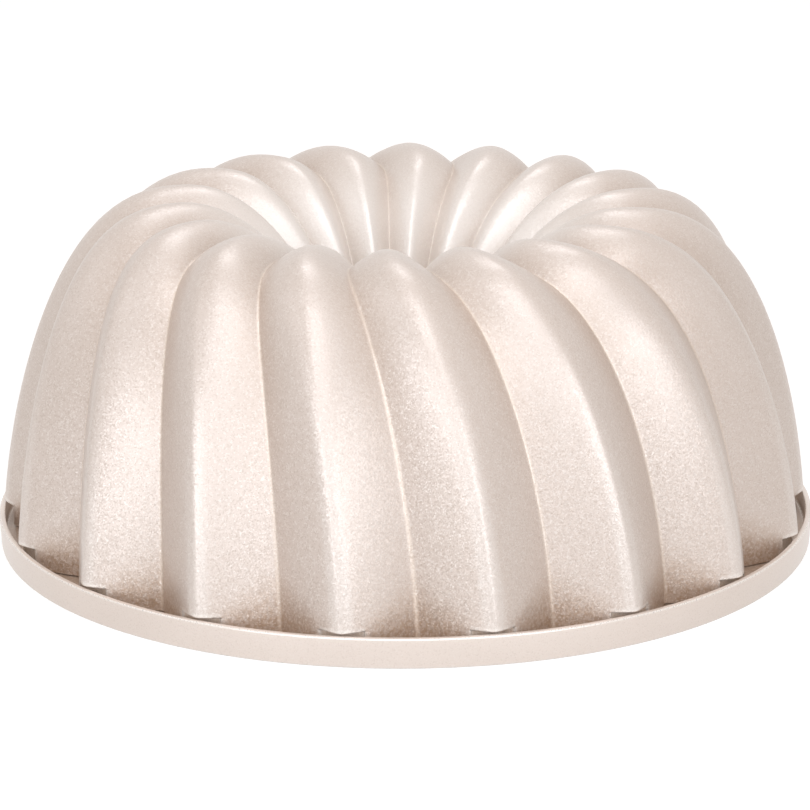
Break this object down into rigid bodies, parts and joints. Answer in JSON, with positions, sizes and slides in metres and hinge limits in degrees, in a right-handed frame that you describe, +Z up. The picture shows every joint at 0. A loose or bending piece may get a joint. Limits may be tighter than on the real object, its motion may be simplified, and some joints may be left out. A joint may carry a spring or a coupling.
{
  "type": "gugelhupf pan",
  "caption": "Ring cake pan with deep swirling flutes, a fluted funnel with a centre tube and a smooth turned rim, shown upside down on its rim.",
  "frame": {"origin": "on the pan's axis, in the plane of the rim's resting edge", "axes": "+Z up along the axis, from the rim to the crown; the pan stands upside down as in the picture, whose camera looks along +Y"},
  "size_m": [0.26, 0.26, 0.1084],
  "materials": {
    "grained_coat": "champagne non-stick coat with a fine metallic sparkle, satin",
    "satin_coat": "champagne coat over a turned surface, smooth satin",
    "plain_coat": "champagne non-stick coat, satin"
  },
  "bodies": {
    "root": {"fluted_shell": "grained_coat", "rim_ring": "satin_coat", "centre_tube": "plain_coat"}
  },
  "joints": []
}
